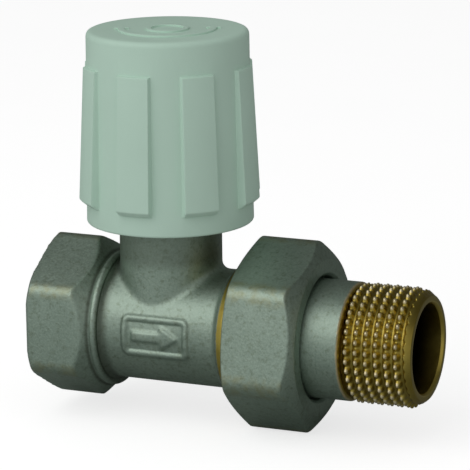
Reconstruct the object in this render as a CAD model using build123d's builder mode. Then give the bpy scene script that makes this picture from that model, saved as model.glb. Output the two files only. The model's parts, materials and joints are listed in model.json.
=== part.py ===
"""Straight lockshield valve with a push-on shield cap and a union tail, in millimetres.

Frame: the origin is the centre of the inlet mouth, +X runs along the pipe axis to the tail,
and +Z runs up the neck. The headwork, spindle and cap stand on the neck axis at x = NECK_X.
The model is drawn with the valve closed, the cap pressed home and the union made up.
Threads are drawn as plain cylinders. The radius that each one stands at is named below.
"""
from build123d import *
import math
import os

os.makedirs("parts", exist_ok=True)

# ---------------------------------------------------------------- clearances
RUNNING = 0.06  # radial gap of a turning or sliding fit
SEATED = 0.04  # gap between faces that rest on each other
THREAD_GAP = 0.05  # radial gap of threads drawn as plain cylinders
HEX_TO_CORNER = 1 / math.cos(math.radians(30))  # across-corners over across-flats

# ---------------------------------------------------------------- standard threads
PIPE_MAJOR_R = 20.955 / 2  # G 1/2 pipe thread
UNION_MINOR_R = 24.117 / 2  # G 3/4 union thread, drawn at its minor radius
HEADWORK_THREAD_R = 14.0 / 2  # M14 thread in the neck

# ---------------------------------------------------------------- body casting
NECK_X = 22.6  # inlet mouth to neck axis
TUBE_R = 10.5
TUBE_WALL = 2.3
WATERWAY_R = TUBE_R - TUBE_WALL
INLET_AF = 26.0
INLET_CORNER_R = 2.4
INLET_HEX_LENGTH = 11.6
INLET_FACE_R = INLET_AF / 2 + 0.5
INLET_FACE_BEVEL = 0.8
INLET_BACK_BEVEL = 3.0
INLET_THREAD_DEPTH = 10.4
INLET_MOUTH_CHAMFER = 0.5
INLET_DRILL_SLOPE_DEG = 31
COLLAR_R = INLET_AF / 2 - 1.0
COLLAR_TAPER = 0.6
COLLAR_LENGTH = 1.2
GROOVE_LENGTH = 0.8
TUBE_REACH = 12.4  # neck axis to the end of the tube
RING_LENGTH = 2.2  # bare shoulder between the tube and the union thread
UNION_THREAD_LENGTH = 8.8
UNION_END_CHAMFER = 0.9
UNION_WALL = 4.06
OUTLET_R = UNION_MINOR_R - UNION_WALL
NECK_WALL = 2.04
NECK_R = HEADWORK_THREAD_R + NECK_WALL
NECK_TOP = 19.5
NECK_FILLET = 1.5

# ---------------------------------------------------------------- seat, spindle and plug
LIFT = 3.5  # plug travel from closed to open
STOP_GAP = 0.3  # left between the thrust washer and its stop when fully open
STEM_R = 3.5
SPINDLE_THREAD_R = STEM_R + 1.0
SPINDLE_THREAD_LENGTH = 7.1
SPINDLE_SQUARE_AF = 1.4 * STEM_R
SPINDLE_SQUARE_HEIGHT = 5.0
SPINDLE_SQUARE_GAP = 1.1  # gland nut to the foot of the square
THRUST_WASHER_THICKNESS = 0.5
SEAT_R = 4.6
SEAT_LAND = 1.0
SEAT_RISE = 0.8
WEB_TOP = 0.4  # partition between the chambers, at right angles to the neck
WEB_THICKNESS = 2.0
WALL_THICKNESS = 2.0
WALL_MARGIN = 1.9  # neck chamber to the far face of each upright wall
SEAT_WASHER_THICKNESS = 2.0
JUMPER_R = SEAT_R + SEAT_LAND + 0.4
JUMPER_RIM = 0.45
JUMPER_RIM_SHARE = 0.55  # how much of the rubber's thickness the rim covers
JUMPER_FLANGE = 1.96
JUMPER_HUB_HEIGHT = 4.4
JUMPER_HUB_R = SPINDLE_THREAD_R - 0.3
JUMPER_FLOOR = 0.8
JUMPER_SIDE_GAP = 0.5
SPINDLE_TIP_GAP = 0.2
SPINDLE_TIP_R = JUMPER_HUB_R - 1.3
SPINDLE_WAIST_R = STEM_R - 0.1
CLIP_RISE = 1.4  # spindle's tip to the clip's slot
CLIP_SLOT_HEIGHT = 1.0
CLIP_GROOVE_R = SPINDLE_TIP_R - 0.6
CLIP_SEAT_R = JUMPER_HUB_R - 0.6
CLIP_GAP_DEG = 50
SCREW_R = 1.2
SCREW_HEAD_R = 2.6
SCREW_HEAD_HEIGHT = 1.5
SCREW_SLOT = 0.6

# ---------------------------------------------------------------- headwork and gland
HEADWORK_THREAD_LENGTH = 9.5
HEADWORK_AF = 17.0
HEADWORK_HEX_HEIGHT = 5.0
HEADWORK_WASHER_THICKNESS = 0.6
HEADWORK_WASHER_R = NECK_R - 0.26
HEADWORK_BARREL_HEIGHT = 9.9
GLAND_R = STEM_R + 1.9
GLAND_WALL = 2.6
GLAND_DEPTH = 8.0
GLAND_FLOOR = 3.0
HEADWORK_BARREL_R = GLAND_R + GLAND_WALL
GLAND_WASHER_THICKNESS = 0.8
PACKING_HEIGHT = 3.2
FOLLOWER_HEIGHT = 1.2
GLAND_NUT_AF = 13.0
GLAND_NUT_HEIGHT = 4.3
GLAND_NUT_GAP = 0.2
GLAND_RING_SECTION = 0.68  # radius of the O-ring's round section
GLAND_RING_DROP = 1.5

# ---------------------------------------------------------------- shield cap
CAP_OVERLAP = 0.6  # how far the cap's foot hangs below the neck's top
CAP_HEADROOM = 1.55
CAP_ROOF = 2.1
CAP_WALL = 2.5
CAP_RIM_HEIGHT = 3.6
CAP_BAND_HEIGHT = 5.9
CAP_TAPER = 0.45
CAP_EDGE_R = 1.1
RIB_COUNT = 8
RIB_WIDTH_DEG = 23.5
RIB_FOOT_RISE = 1.4
RIB_TOP_RISE = 0.67
RIB_CHAMFER = 0.9
DIAL_RISE = 0.3
DIAL_RING_R = 8.0
DIAL_RING_WIDTH = 1.2
DIAL_DISC_R = 3.8
DIAL_DISC_LINE = 1.0
DIAL_ARC_DEG = 180
DIAL_HEAD = 2.6
DIAL_FACING_DEG = -67.5  # direction that the arrow's middle faces, from +X
SLEEVE_HEX_GAP = 0.385
SLEEVE_WALL = 1.94
SLEEVE_RECESS = 0.8
SLEEVE_STEP_GAP = 0.9
SLEEVE_GRIP_HEIGHT = 8.0
SLEEVE_GRIP_GAP = 0.25
GRIP_RING_RISE = 3.3
GRIP_RING_SECTION = 0.8
SNAP_RISE = 5.4
SNAP_HEIGHT = 1.1
SNAP_IN = 1.0
SNAP_OUT = 0.75
SNAP_GAP_DEG = 40

# ---------------------------------------------------------------- union nut and tail
NUT_AF = 30.0
NUT_CORNER_R = 3.0
NUT_TURN_DEG = -9.5  # how far the made-up nut has stopped past the inlet hexagon
NUT_START_GAP = 0.9  # shoulder ring left in sight before the nut
NUT_INNER_FACE_R = NUT_AF / 2 - 0.9
NUT_INNER_BEVEL = 1.0
NUT_OUTER_FACE_R = NUT_AF / 2 - 1.2
NUT_OUTER_BEVEL = 2.2
NUT_MOUTH_CHAMFER = 1.2
NUT_LIP = 2.6
NUT_HOLE_GAP = 0.55
NUT_HOLE_CHAMFER = 0.5
TAIL_COLLAR_R = UNION_MINOR_R - 0.16
TAIL_COLLAR_LENGTH = 2.8
TAIL_SHANK_R = PIPE_MAJOR_R - 0.08
TAIL_SHANK_LENGTH = 8.86
TAIL_THREAD_LENGTH = 13.1
TAIL_RELIEF_DEPTH = 0.5
TAIL_RELIEF = 0.7
TAIL_END_BEVEL = 1.28
TAIL_BORE_R = 7.85
TAIL_BORE_CHAMFER = 0.4
TAIL_KEY_AF = 13.0
TAIL_KEY_DEPTH = 8.5
TAIL_RING_SECTION = 0.8

# ---------------------------------------------------------------- flow mark
MARK_SHIFT = 1.3  # neck axis to the middle of the mark
MARK_LENGTH = 12.4
MARK_HEIGHT = 7.2
MARK_LINE = 0.7
MARK_RISE = 0.45
ARROW_LENGTH = 8.6
ARROW_HEAD = 3.2
ARROW_HALF = 2.0
ARROW_SHAFT = 1.5

# ---------------------------------------------------------------- places along the pipe
COLLAR_END_X = INLET_HEX_LENGTH + COLLAR_LENGTH
TUBE_START_X = COLLAR_END_X + GROOVE_LENGTH
TUBE_END_X = NECK_X + TUBE_REACH
UNION_START_X = TUBE_END_X + RING_LENGTH
UNION_END_X = UNION_START_X + UNION_THREAD_LENGTH
TAIL_START_X = UNION_END_X + SEATED
TAIL_SHANK_X = TAIL_START_X + TAIL_COLLAR_LENGTH
TAIL_THREAD_X = TAIL_SHANK_X + TAIL_SHANK_LENGTH
TAIL_END_X = TAIL_THREAD_X + TAIL_THREAD_LENGTH
NUT_START_X = UNION_START_X + NUT_START_GAP
NUT_LIP_X = TAIL_SHANK_X + RUNNING
NUT_END_X = NUT_LIP_X + NUT_LIP
PIPE_BORE_R = PIPE_MAJOR_R + THREAD_GAP
NUT_BORE_R = UNION_MINOR_R + THREAD_GAP
NUT_HOLE_R = TAIL_SHANK_R + NUT_HOLE_GAP
TAIL_RING_R = (OUTLET_R + UNION_MINOR_R - UNION_END_CHAMFER) / 2

# ---------------------------------------------------------------- places up the neck
HEADWORK_FOOT_Z = NECK_TOP - HEADWORK_THREAD_LENGTH
HEADWORK_HEX_Z = NECK_TOP + HEADWORK_WASHER_THICKNESS
HEADWORK_BARREL_Z = HEADWORK_HEX_Z + HEADWORK_HEX_HEIGHT
HEADWORK_TOP = HEADWORK_BARREL_Z + HEADWORK_BARREL_HEIGHT
GLAND_FLOOR_Z = HEADWORK_TOP - GLAND_DEPTH
PACKING_Z = GLAND_FLOOR_Z + GLAND_WASHER_THICKNESS
FOLLOWER_Z = PACKING_Z + PACKING_HEIGHT
GLAND_NUT_Z = FOLLOWER_Z + FOLLOWER_HEIGHT
GLAND_HEX_Z = HEADWORK_TOP + GLAND_NUT_GAP
GLAND_NUT_TOP = GLAND_HEX_Z + GLAND_NUT_HEIGHT
GLAND_RING_Z = GLAND_NUT_TOP - GLAND_RING_DROP
SPINDLE_SHOULDER_Z = GLAND_FLOOR_Z - GLAND_FLOOR
SPINDLE_THREAD_TOP = SPINDLE_SHOULDER_Z - LIFT - THRUST_WASHER_THICKNESS - STOP_GAP
SPINDLE_THREAD_Z = SPINDLE_THREAD_TOP - SPINDLE_THREAD_LENGTH
SPINDLE_SQUARE_Z = GLAND_NUT_TOP + SPINDLE_SQUARE_GAP
SPINDLE_TOP = SPINDLE_SQUARE_Z + SPINDLE_SQUARE_HEIGHT
WEB_FOOT = WEB_TOP - WEB_THICKNESS
SEAT_TOP = WEB_TOP + SEAT_RISE
NECK_CHAMBER_R = JUMPER_R + JUMPER_SIDE_GAP
CHAMBER_HALF = NECK_CHAMBER_R + WALL_MARGIN
WASHER_FOOT = SEAT_TOP + SEATED
JUMPER_FOOT = WASHER_FOOT + SEAT_WASHER_THICKNESS
JUMPER_FLANGE_TOP = JUMPER_FOOT + JUMPER_FLANGE
JUMPER_HUB_TOP = JUMPER_FLANGE_TOP + JUMPER_HUB_HEIGHT
SPINDLE_TIP_Z = JUMPER_FLANGE_TOP + JUMPER_FLOOR + SPINDLE_TIP_GAP
CLIP_Z = SPINDLE_TIP_Z + CLIP_RISE
CLIP_TOP = CLIP_Z + CLIP_SLOT_HEIGHT
CAP_FOOT_Z = NECK_TOP - CAP_OVERLAP
CAP_RIM_TOP = CAP_FOOT_Z + CAP_RIM_HEIGHT
CAP_CEILING_Z = SPINDLE_TOP + LIFT + CAP_HEADROOM
CAP_TOP = CAP_CEILING_Z + CAP_ROOF
CAP_RIB_TOP = CAP_TOP - CAP_BAND_HEIGHT
SLEEVE_FOOT_Z = CAP_FOOT_Z + SLEEVE_RECESS
SLEEVE_SKIRT_TOP = HEADWORK_BARREL_Z + SLEEVE_STEP_GAP
SLEEVE_TOP = SLEEVE_SKIRT_TOP + SLEEVE_GRIP_HEIGHT
GRIP_RING_Z = SLEEVE_SKIRT_TOP + GRIP_RING_RISE
SNAP_Z = SLEEVE_SKIRT_TOP + SNAP_RISE
SLEEVE_SKIRT_R = max(HEADWORK_AF / 2 * HEX_TO_CORNER, NECK_R) + SLEEVE_HEX_GAP
SLEEVE_GRIP_R = HEADWORK_BARREL_R + SLEEVE_GRIP_GAP
SLEEVE_R = SLEEVE_SKIRT_R + SLEEVE_WALL
CAP_BORE_R = SLEEVE_R + RUNNING
CAP_HOLLOW_R = CAP_BORE_R - 0.5
CAP_RIM_R = CAP_BORE_R + CAP_WALL
CAP_BAND_R = CAP_RIM_R - CAP_TAPER
RIB_FOOT_R = CAP_RIM_R + RIB_FOOT_RISE
RIB_TOP_R = CAP_BAND_R + RIB_TOP_RISE
SNAP_INNER_R = CAP_BORE_R - SNAP_IN
SNAP_OUTER_R = CAP_BORE_R + SNAP_OUT

# ---------------------------------------------------------------- working planes
PIPE_PROFILE = Plane.XZ  # local x along the pipe, local y the radius
NECK_AXIS = Axis((NECK_X, 0, 0), (0, 0, 1))
NECK_PROFILE = Plane(origin=(NECK_X, 0, 0), x_dir=(1, 0, 0), z_dir=(0, -1, 0))
NECK_BASE = Plane(origin=(NECK_X, 0, 0), x_dir=(1, 0, 0), z_dir=(0, 0, 1))


def turn_pipe(*outline, mode=Mode.ADD):
    """Turn a closed outline of (x, radius) points about the pipe axis."""
    with BuildSketch(PIPE_PROFILE) as section:
        with BuildLine():
            Polyline(*outline, close=True)
        make_face()
    revolve(section.sketch, axis=Axis.X, mode=mode)


def turn_neck(*outline, mode=Mode.ADD):
    """Turn a closed outline of (radius, z) points about the neck axis."""
    with BuildSketch(NECK_PROFILE) as section:
        with BuildLine():
            Polyline(*outline, close=True)
        make_face()
    revolve(section.sketch, axis=NECK_AXIS, mode=mode)


def ring_outline(inner, outer, foot, top):
    """Corners of a plain ring's section: (radius, z) points."""
    return (inner, foot), (outer, foot), (outer, top), (inner, top)


def open_ring(inner, outer, foot, height, gap_deg):
    """Snap ring about the neck axis, split by a gap on the +X side."""
    with BuildSketch(NECK_BASE.offset(foot)) as section:
        Circle(outer)
        Circle(inner, mode=Mode.SUBTRACT)
        reach = 2 * outer
        half = reach * math.tan(math.radians(gap_deg / 2))
        Polygon((0, 0), (reach, half), (reach, -half), align=None, mode=Mode.SUBTRACT)
    extrude(section.sketch, amount=height)


def torus_about_neck(mean, section_r, z):
    """Rubber ring of round section about the neck axis."""
    with BuildSketch(NECK_PROFILE) as section:
        with Locations((mean, z)):
            Circle(section_r)
    revolve(section.sketch, axis=NECK_AXIS)


def finish(builder, label):
    """Name a finished piece and write its STEP file."""
    builder.part.label = label
    export_step(builder.part, f"parts/{label}.step")


# ================================================================ body casting
with BuildPart() as flow_mark:
    # Framed arrow that points from the inlet to the tail, on a cylinder just proud of the tube
    mark_x = NECK_X + MARK_SHIFT
    with BuildSketch(Plane.XZ) as frame_and_arrow:
        with Locations((mark_x, 0)):
            RectangleRounded(MARK_LENGTH, MARK_HEIGHT, MARK_LINE * 1.5)
            inside = (MARK_LENGTH - 2 * MARK_LINE, MARK_HEIGHT - 2 * MARK_LINE)
            RectangleRounded(*inside, MARK_LINE * 0.75, mode=Mode.SUBTRACT)
        tip_x = mark_x + ARROW_LENGTH / 2
        neck_x = tip_x - ARROW_HEAD
        tail_x = mark_x - ARROW_LENGTH / 2
        with BuildLine():
            Polyline(
                (tip_x, 0),
                (neck_x, ARROW_HALF),
                (neck_x, ARROW_SHAFT / 2),
                (tail_x, ARROW_SHAFT / 2),
                (tail_x, -ARROW_SHAFT / 2),
                (neck_x, -ARROW_SHAFT / 2),
                (neck_x, -ARROW_HALF),
                close=True,
            )
        make_face()
    extrude(amount=2 * TUBE_R, both=True)
    turn_pipe(
        (0, WATERWAY_R + RUNNING),
        (UNION_END_X, WATERWAY_R + RUNNING),
        (UNION_END_X, TUBE_R + MARK_RISE),
        (0, TUBE_R + MARK_RISE),
        mode=Mode.INTERSECT,
    )

with BuildPart() as inlet_hexagon:
    # Inlet hexagon, corners up and down, bevelled by a turned envelope
    with BuildSketch(Plane.YZ):
        RegularPolygon(INLET_AF / 2, 6, major_radius=False, rotation=30)
        fillet(vertices(), INLET_CORNER_R)
    extrude(amount=INLET_HEX_LENGTH)
    corner_r = INLET_AF / 2 * HEX_TO_CORNER
    turn_pipe(
        (0, 0),
        (0, INLET_FACE_R),
        (INLET_FACE_BEVEL, corner_r),
        (INLET_HEX_LENGTH - INLET_BACK_BEVEL, corner_r),
        (INLET_HEX_LENGTH, COLLAR_R),
        (INLET_HEX_LENGTH, 0),
        mode=Mode.INTERSECT,
    )

with BuildPart() as valve_body:
    # Tube, shoulder ring and union spigot
    turn_pipe(
        (INLET_HEX_LENGTH / 2, 0),
        (INLET_HEX_LENGTH / 2, TUBE_R),
        (TUBE_END_X, TUBE_R),
        (TUBE_END_X + 0.3 * RING_LENGTH, TUBE_R + 0.6 * (UNION_MINOR_R - TUBE_R)),
        (UNION_START_X, UNION_MINOR_R),
        (UNION_END_X - UNION_END_CHAMFER, UNION_MINOR_R),
        (UNION_END_X, UNION_MINOR_R - UNION_END_CHAMFER),
        (UNION_END_X, 0),
    )
    # Neck, blended into the tube
    with BuildSketch(NECK_BASE):
        Circle(NECK_R)
    extrude(amount=NECK_TOP)
    saddle = valve_body.edges(Select.NEW)
    fillet(saddle, NECK_FILLET)
    # Inlet hexagon, and the collar that runs down to the tube
    add(inlet_hexagon.part)
    turn_pipe(
        (INLET_HEX_LENGTH / 2, 0),
        (INLET_HEX_LENGTH / 2, COLLAR_R),
        (INLET_HEX_LENGTH, COLLAR_R),
        (COLLAR_END_X, COLLAR_R - COLLAR_TAPER),
        (TUBE_START_X, TUBE_R),
        (TUBE_START_X, 0),
    )
    add(flow_mark.part)
    # Inlet thread, drill point and the lower chamber, up to the far upright wall
    drill_slope = math.tan(math.radians(INLET_DRILL_SLOPE_DEG))
    drill_x = INLET_THREAD_DEPTH + (PIPE_BORE_R - WATERWAY_R) * drill_slope
    wall_in_x = NECK_X - CHAMBER_HALF
    wall_out_x = NECK_X + CHAMBER_HALF
    turn_pipe(
        (0, 0),
        (0, PIPE_BORE_R + INLET_MOUTH_CHAMFER),
        (INLET_MOUTH_CHAMFER, PIPE_BORE_R),
        (INLET_THREAD_DEPTH, PIPE_BORE_R),
        (drill_x, WATERWAY_R),
        (wall_in_x, WATERWAY_R),
        (wall_in_x, 0),
        mode=Mode.SUBTRACT,
    )
    below = WATERWAY_R + WEB_FOOT
    with BuildSketch(Plane.YZ.offset(wall_in_x)):
        Circle(WATERWAY_R)
        with Locations((0, WEB_FOOT - below)):
            Rectangle(4 * TUBE_R, 2 * below, mode=Mode.INTERSECT)
    extrude(amount=2 * CHAMBER_HALF - WALL_THICKNESS, mode=Mode.SUBTRACT)
    # Upper chamber, from the near upright wall, and the outlet
    above = WATERWAY_R - WEB_TOP
    with BuildSketch(Plane.YZ.offset(wall_in_x + WALL_THICKNESS)):
        Circle(WATERWAY_R)
        with Locations((0, WEB_TOP + above)):
            Rectangle(4 * TUBE_R, 2 * above, mode=Mode.INTERSECT)
    extrude(amount=2 * CHAMBER_HALF - WALL_THICKNESS, mode=Mode.SUBTRACT)
    turn_pipe(
        (wall_out_x, 0),
        (wall_out_x, OUTLET_R),
        (UNION_END_X, OUTLET_R),
        (UNION_END_X, 0),
        mode=Mode.SUBTRACT,
    )
    # Neck bore: open chamber below, headwork thread above
    turn_neck(
        (0, WEB_TOP),
        (NECK_CHAMBER_R, WEB_TOP),
        (NECK_CHAMBER_R, HEADWORK_FOOT_Z - 1),
        (HEADWORK_THREAD_R, HEADWORK_FOOT_Z - 0.5),
        (HEADWORK_THREAD_R, NECK_TOP),
        (0, NECK_TOP),
        mode=Mode.SUBTRACT,
    )
    # Raised seat and its hole through the web
    turn_neck(*ring_outline(SEAT_R, SEAT_R + SEAT_LAND, WEB_TOP - 0.5, SEAT_TOP))
    turn_neck(*ring_outline(0, SEAT_R, WEB_FOOT - 1, SEAT_TOP + 1), mode=Mode.SUBTRACT)
finish(valve_body, "valve_body")

# ================================================================ headwork
with BuildPart() as headwork_washer:
    turn_neck(*ring_outline(HEADWORK_THREAD_R, HEADWORK_WASHER_R, NECK_TOP, HEADWORK_HEX_Z))
finish(headwork_washer, "headwork_washer")

with BuildPart() as headwork:
    # Hexagon with bevelled corners, then the threaded foot and the plain barrel
    with BuildSketch(NECK_BASE.offset(HEADWORK_HEX_Z)):
        RegularPolygon(HEADWORK_AF / 2, 6, major_radius=False)
    extrude(amount=HEADWORK_HEX_HEIGHT)
    bevel = 0.8
    bevel_r = HEADWORK_AF / 2 - 0.1
    corner_r = HEADWORK_AF / 2 * HEX_TO_CORNER
    turn_neck(
        (0, HEADWORK_HEX_Z),
        (bevel_r, HEADWORK_HEX_Z),
        (corner_r, HEADWORK_HEX_Z + bevel),
        (corner_r, HEADWORK_BARREL_Z - bevel),
        (bevel_r, HEADWORK_BARREL_Z),
        (0, HEADWORK_BARREL_Z),
        mode=Mode.INTERSECT,
    )
    foot_r = HEADWORK_THREAD_R - THREAD_GAP
    turn_neck(
        (0, HEADWORK_FOOT_Z),
        (foot_r - 0.6, HEADWORK_FOOT_Z),
        (foot_r, HEADWORK_FOOT_Z + 0.6),
        (foot_r, HEADWORK_HEX_Z),
        (HEADWORK_BARREL_R, HEADWORK_HEX_Z),
        (HEADWORK_BARREL_R, HEADWORK_TOP - 0.5),
        (HEADWORK_BARREL_R - 0.5, HEADWORK_TOP),
        (0, HEADWORK_TOP),
    )
    # Stepped bore: spindle thread, stem hole and gland box
    turn_neck(
        (0, HEADWORK_FOOT_Z),
        (SPINDLE_THREAD_R + THREAD_GAP, HEADWORK_FOOT_Z),
        (SPINDLE_THREAD_R + THREAD_GAP, SPINDLE_SHOULDER_Z),
        (STEM_R + RUNNING, SPINDLE_SHOULDER_Z),
        (STEM_R + RUNNING, GLAND_FLOOR_Z),
        (GLAND_R, GLAND_FLOOR_Z),
        (GLAND_R, HEADWORK_TOP),
        (0, HEADWORK_TOP),
        mode=Mode.SUBTRACT,
    )
finish(headwork, "headwork")

with BuildPart() as gland_washer:
    turn_neck(*ring_outline(STEM_R + RUNNING, GLAND_R - THREAD_GAP, GLAND_FLOOR_Z, PACKING_Z))
finish(gland_washer, "gland_washer")

with BuildPart() as gland_packing:
    turn_neck(*ring_outline(STEM_R + RUNNING / 2, GLAND_R - THREAD_GAP, PACKING_Z, FOLLOWER_Z))
finish(gland_packing, "gland_packing")

with BuildPart() as gland_follower:
    turn_neck(*ring_outline(STEM_R + RUNNING, GLAND_R - THREAD_GAP, FOLLOWER_Z, GLAND_NUT_Z))
finish(gland_follower, "gland_follower")

with BuildPart() as gland_nut:
    with BuildSketch(NECK_BASE.offset(GLAND_HEX_Z)):
        RegularPolygon(GLAND_NUT_AF / 2, 6, major_radius=False)
    extrude(amount=GLAND_NUT_TOP - GLAND_HEX_Z)
    corner_r = GLAND_NUT_AF / 2 * HEX_TO_CORNER
    turn_neck(
        (0, GLAND_HEX_Z),
        (corner_r, GLAND_HEX_Z),
        (corner_r, GLAND_NUT_TOP - 0.7),
        (GLAND_NUT_AF / 2 - 0.1, GLAND_NUT_TOP),
        (0, GLAND_NUT_TOP),
        mode=Mode.INTERSECT,
    )
    turn_neck(*ring_outline(0, GLAND_R - THREAD_GAP, GLAND_NUT_Z, GLAND_HEX_Z))
    turn_neck(*ring_outline(0, STEM_R + RUNNING, GLAND_NUT_Z, GLAND_NUT_TOP), mode=Mode.SUBTRACT)
    ring_half = GLAND_RING_SECTION + SEATED
    ring_seat_r = STEM_R + 2 * GLAND_RING_SECTION + SEATED
    groove = ring_outline(0, ring_seat_r, GLAND_RING_Z - ring_half, GLAND_RING_Z + ring_half)
    turn_neck(*groove, mode=Mode.SUBTRACT)
finish(gland_nut, "gland_nut")

with BuildPart() as gland_o_ring:
    torus_about_neck(STEM_R + SEATED / 2 + GLAND_RING_SECTION, GLAND_RING_SECTION, GLAND_RING_Z)
finish(gland_o_ring, "gland_o_ring")

# ================================================================ spindle and plug
with BuildPart() as spindle:
    turn_neck(
        (0, SPINDLE_TIP_Z),
        (SPINDLE_TIP_R - 0.3, SPINDLE_TIP_Z),
        (SPINDLE_TIP_R, SPINDLE_TIP_Z + 0.3),
        (SPINDLE_TIP_R, CLIP_Z),
        (CLIP_GROOVE_R, CLIP_Z),
        (CLIP_GROOVE_R, CLIP_TOP),
        (SPINDLE_TIP_R, CLIP_TOP),
        (SPINDLE_TIP_R, JUMPER_HUB_TOP + 0.6),
        (SPINDLE_WAIST_R, JUMPER_HUB_TOP + 1.1),
        (SPINDLE_WAIST_R, SPINDLE_THREAD_Z),
        (SPINDLE_THREAD_R - 0.5, SPINDLE_THREAD_Z),
        (SPINDLE_THREAD_R, SPINDLE_THREAD_Z + 0.5),
        (SPINDLE_THREAD_R, SPINDLE_THREAD_TOP),
        (STEM_R, SPINDLE_THREAD_TOP),
        (STEM_R, SPINDLE_SQUARE_Z),
        (0, SPINDLE_SQUARE_Z),
    )
    # Square for the lockshield key, its corners turned down to the stem
    with BuildSketch(NECK_BASE.offset(SPINDLE_SQUARE_Z)):
        Rectangle(SPINDLE_SQUARE_AF, SPINDLE_SQUARE_AF)
        Circle(STEM_R - 0.1, mode=Mode.INTERSECT)
    extrude(amount=SPINDLE_TOP - SPINDLE_SQUARE_Z)
    turn_neck(
        (SPINDLE_SQUARE_AF / 2, SPINDLE_TOP),
        (STEM_R, SPINDLE_TOP),
        (STEM_R, SPINDLE_TOP - 0.7),
        mode=Mode.SUBTRACT,
    )
finish(spindle, "spindle")

with BuildPart() as thrust_washer:
    washer_z = SPINDLE_THREAD_TOP + SEATED
    washer_r = SPINDLE_THREAD_R - RUNNING
    washer_top = washer_z + THRUST_WASHER_THICKNESS
    turn_neck(*ring_outline(STEM_R + RUNNING, washer_r, washer_z, washer_top))
finish(thrust_washer, "thrust_washer")

with BuildPart() as jumper:
    # Flange with a rim round the rubber, and a hub that hangs on the spindle's tip
    rim_inner = JUMPER_R - JUMPER_RIM
    rim_foot = JUMPER_FOOT - SEAT_WASHER_THICKNESS * JUMPER_RIM_SHARE
    turn_neck(
        (SCREW_R + THREAD_GAP, JUMPER_FOOT),
        (rim_inner, JUMPER_FOOT),
        (rim_inner, rim_foot),
        (JUMPER_R, rim_foot),
        (JUMPER_R, JUMPER_FLANGE_TOP - 0.5),
        (JUMPER_R - 0.5, JUMPER_FLANGE_TOP),
        (JUMPER_HUB_R, JUMPER_FLANGE_TOP),
        (JUMPER_HUB_R, JUMPER_HUB_TOP),
        (SPINDLE_TIP_R + RUNNING, JUMPER_HUB_TOP),
        (SPINDLE_TIP_R + RUNNING, CLIP_TOP),
        (CLIP_SEAT_R, CLIP_TOP),
        (CLIP_SEAT_R, CLIP_Z),
        (SPINDLE_TIP_R + RUNNING, CLIP_Z),
        (SPINDLE_TIP_R + RUNNING, SPINDLE_TIP_Z - 0.2),
        (SCREW_R + THREAD_GAP, SPINDLE_TIP_Z - 0.2),
    )
finish(jumper, "jumper")

with BuildPart() as jumper_clip:
    clip_height = CLIP_SLOT_HEIGHT - 2 * SEATED
    open_ring(
        CLIP_GROOVE_R + RUNNING, CLIP_SEAT_R - RUNNING, CLIP_Z + SEATED, clip_height, CLIP_GAP_DEG
    )
finish(jumper_clip, "jumper_clip")

with BuildPart() as seat_washer:
    washer_outer = rim_inner - THREAD_GAP
    turn_neck(*ring_outline(SCREW_R + THREAD_GAP, washer_outer, WASHER_FOOT, JUMPER_FOOT))
finish(seat_washer, "seat_washer")

with BuildPart() as washer_screw:
    turn_neck(
        (0, WASHER_FOOT - SCREW_HEAD_HEIGHT),
        (SCREW_HEAD_R - 0.4, WASHER_FOOT - SCREW_HEAD_HEIGHT),
        (SCREW_HEAD_R, WASHER_FOOT - SCREW_HEAD_HEIGHT + 0.4),
        (SCREW_HEAD_R, WASHER_FOOT),
        (SCREW_R, WASHER_FOOT),
        (SCREW_R, SPINDLE_TIP_Z - 0.4),
        (0, SPINDLE_TIP_Z - 0.4),
    )
    with BuildSketch(NECK_BASE.offset(WASHER_FOOT - SCREW_HEAD_HEIGHT)):
        Rectangle(3 * SCREW_HEAD_R, SCREW_SLOT)
    extrude(amount=SCREW_HEAD_HEIGHT / 2, mode=Mode.SUBTRACT)
finish(washer_screw, "washer_screw")

# ================================================================ shield cap
with BuildSketch() as dial_arrow:
    # Band about the neck axis, cut to a sector, with a head on each end
    Circle(DIAL_RING_R + DIAL_RING_WIDTH / 2)
    Circle(DIAL_RING_R - DIAL_RING_WIDTH / 2, mode=Mode.SUBTRACT)
    half_arc = DIAL_ARC_DEG / 2
    with Locations(Location((0, 0), DIAL_FACING_DEG)):
        reach = 4 * DIAL_RING_R
        Rectangle(reach, reach, align=(Align.MIN, Align.CENTER), mode=Mode.INTERSECT)
    for side in (1, -1):
        with Locations(Location((0, 0), DIAL_FACING_DEG + side * half_arc)):
            with Locations((DIAL_RING_R, 0)):
                Polygon(
                    (DIAL_HEAD / 2, 0),
                    (0, side * DIAL_HEAD),
                    (-DIAL_HEAD / 2, 0),
                    align=None,
                )

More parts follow.
